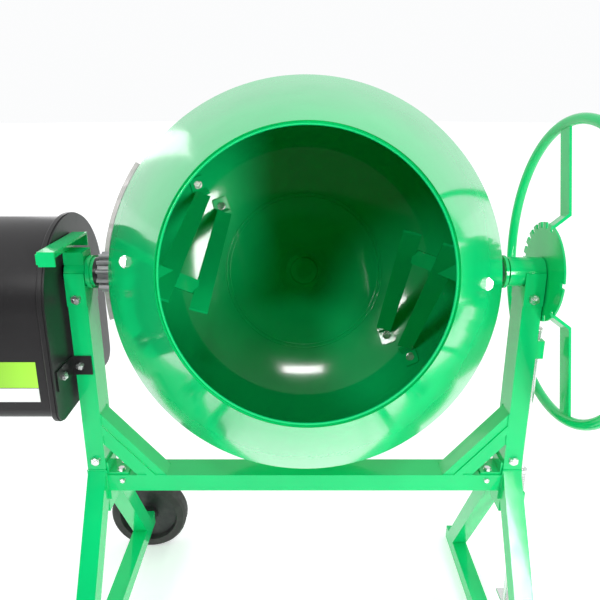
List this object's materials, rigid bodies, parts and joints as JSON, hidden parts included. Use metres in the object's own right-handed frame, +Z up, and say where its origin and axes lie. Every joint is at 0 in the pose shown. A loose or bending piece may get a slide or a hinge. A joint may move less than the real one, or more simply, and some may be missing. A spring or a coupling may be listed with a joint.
{
  "type": "concrete mixer",
  "caption": "Tilting-drum concrete mixer: conical steel drum with mixing blades on a yoke, crown gear and belt drive from a boxed motor, hand wheel with lock disc, wheeled stand.",
  "frame": {"origin": "on the floor, at the bottom centre of the whole mixer's box", "axes": "+Z up; the drum's mouth faces -Y; the motor housing is on -X and the hand wheel on +X"},
  "size_m": [1.286, 0.8476, 1.3445],
  "materials": {
    "green_paint": "glossy powder coat",
    "cast_grey": "rough casting, galvanised",
    "zinc": "bright zinc",
    "steel": "turned steel",
    "guard_grey": "satin grey",
    "black_plastic": "moulded, light grain",
    "black_paint": "satin black",
    "bronze": "turned bronze",
    "belt_rubber": "ribbed rubber",
    "label": "printed film",
    "button_green": "moulded",
    "button_red": "moulded",
    "capacitor_grey": "moulded"
  },
  "bodies": {
    "stand": {"axle_beam": "green_paint", "bearing_housing_left": "green_paint", "bearing_housing_right": "green_paint", "brace_left": "green_paint", "brace_right": "green_paint", "clamp_strap": "black_paint", "corner_brackets": "green_paint", "cross_beam": "green_paint", "drive_belt": "belt_rubber", "drive_motor": "cast_grey", "foot_bar": "green_paint", "frame_bolts": "zinc", "hanger_bracket": "green_paint", "housing_back_plate": "black_plastic", "leg_front_left": "green_paint", "leg_front_right": "green_paint", "leg_rear_left": "green_paint", "leg_rear_right": "green_paint", "lock_guides": "green_paint", "lock_spring": "zinc", "motor_cover": "black_plastic", "post_left": "green_paint", "post_right": "green_paint", "power_inlet": "black_plastic", "rating_label": "label", "run_capacitor": "capacitor_grey", "switch_box": "black_plastic", "trunnion_bushes": "bronze", "wheel_axle": "steel"},
    "yoke": {"yoke_arm_left": "green_paint", "yoke_arm_right": "green_paint", "yoke_crossbar": "green_paint", "drum_axle": "steel", "trunnion_left": "green_paint", "trunnion_right": "steel", "pinion_bearing": "black_paint", "gear_guard": "guard_grey", "hand_wheel_rim": "green_paint", "hand_wheel_spokes": "green_paint", "yoke_fasteners": "zinc", "lock_disc": "green_paint"},
    "drum": {"drum_cone": "green_paint", "drum_bowl": "green_paint", "crown_gear": "cast_grey", "drum_hub": "green_paint", "drum_bearings": "steel", "hub_cap": "green_paint", "blade_right": "green_paint", "blade_left": "green_paint", "drum_bolts": "zinc"},
    "pinion": {"drive_pinion": "cast_grey", "pinion_shaft": "steel", "driven_pulley": "black_plastic"},
    "motor_rotor": {"motor_pulley": "steel"},
    "lock": {"lock_rod": "zinc"},
    "front_wheel": {"wheel_front": "black_plastic"},
    "rear_wheel": {"wheel_rear": "black_plastic"},
    "start": {"start_button": "button_green"},
    "stop": {"stop_button": "button_red"}
  },
  "joints": [
    {"name": "drum_tilt", "type": "hinge", "parent": "stand", "child": "yoke", "pos_m": [0.097, 0.00823, 0.96], "axis": [1, 0, 0], "range_deg": [-194, 46]},
    {"name": "drum_spin", "type": "hinge", "parent": "yoke", "child": "drum", "pos_m": [0.097, 0.00823, 0.96], "axis": [0, -0.9613, 0.2756], "continuous": true},
    {"name": "pinion_spin", "type": "hinge", "parent": "yoke", "child": "pinion", "pos_m": [0.097, 0.00823, 0.96], "axis": [1, 0, 0], "continuous": true},
    {"name": "motor_spin", "type": "hinge", "parent": "stand", "child": "motor_rotor", "pos_m": [-0.443, 0.10323, 0.775], "axis": [1, 0, 0], "continuous": true},
    {"name": "lock_slide", "type": "slide", "parent": "stand", "child": "lock", "axis": [0, 0, 1], "range_m": [0, 0.01], "deforming": ["lock_spring"]},
    {"name": "wheel_front_spin", "type": "hinge", "parent": "stand", "child": "front_wheel", "pos_m": [-0.365, -0.31177, 0.11], "axis": [0, 1, 0], "continuous": true},
    {"name": "wheel_rear_spin", "type": "hinge", "parent": "stand", "child": "rear_wheel", "pos_m": [-0.365, 0.32823, 0.11], "axis": [0, 1, 0], "continuous": true},
    {"name": "start_press", "type": "slide", "parent": "stand", "child": "start", "axis": [0, 1, 0], "range_m": [0, 0.004], "stiffness_N_per_m": 300},
    {"name": "stop_press", "type": "slide", "parent": "stand", "child": "stop", "axis": [0, 1, 0], "range_m": [0, 0.004], "stiffness_N_per_m": 300}
  ],
  "couplings": [
    {"joint": "pinion_spin", "follows": "drum_spin", "ratio": -10.667},
    {"joint": "motor_spin", "follows": "drum_spin", "ratio": -90.074}
  ]
}
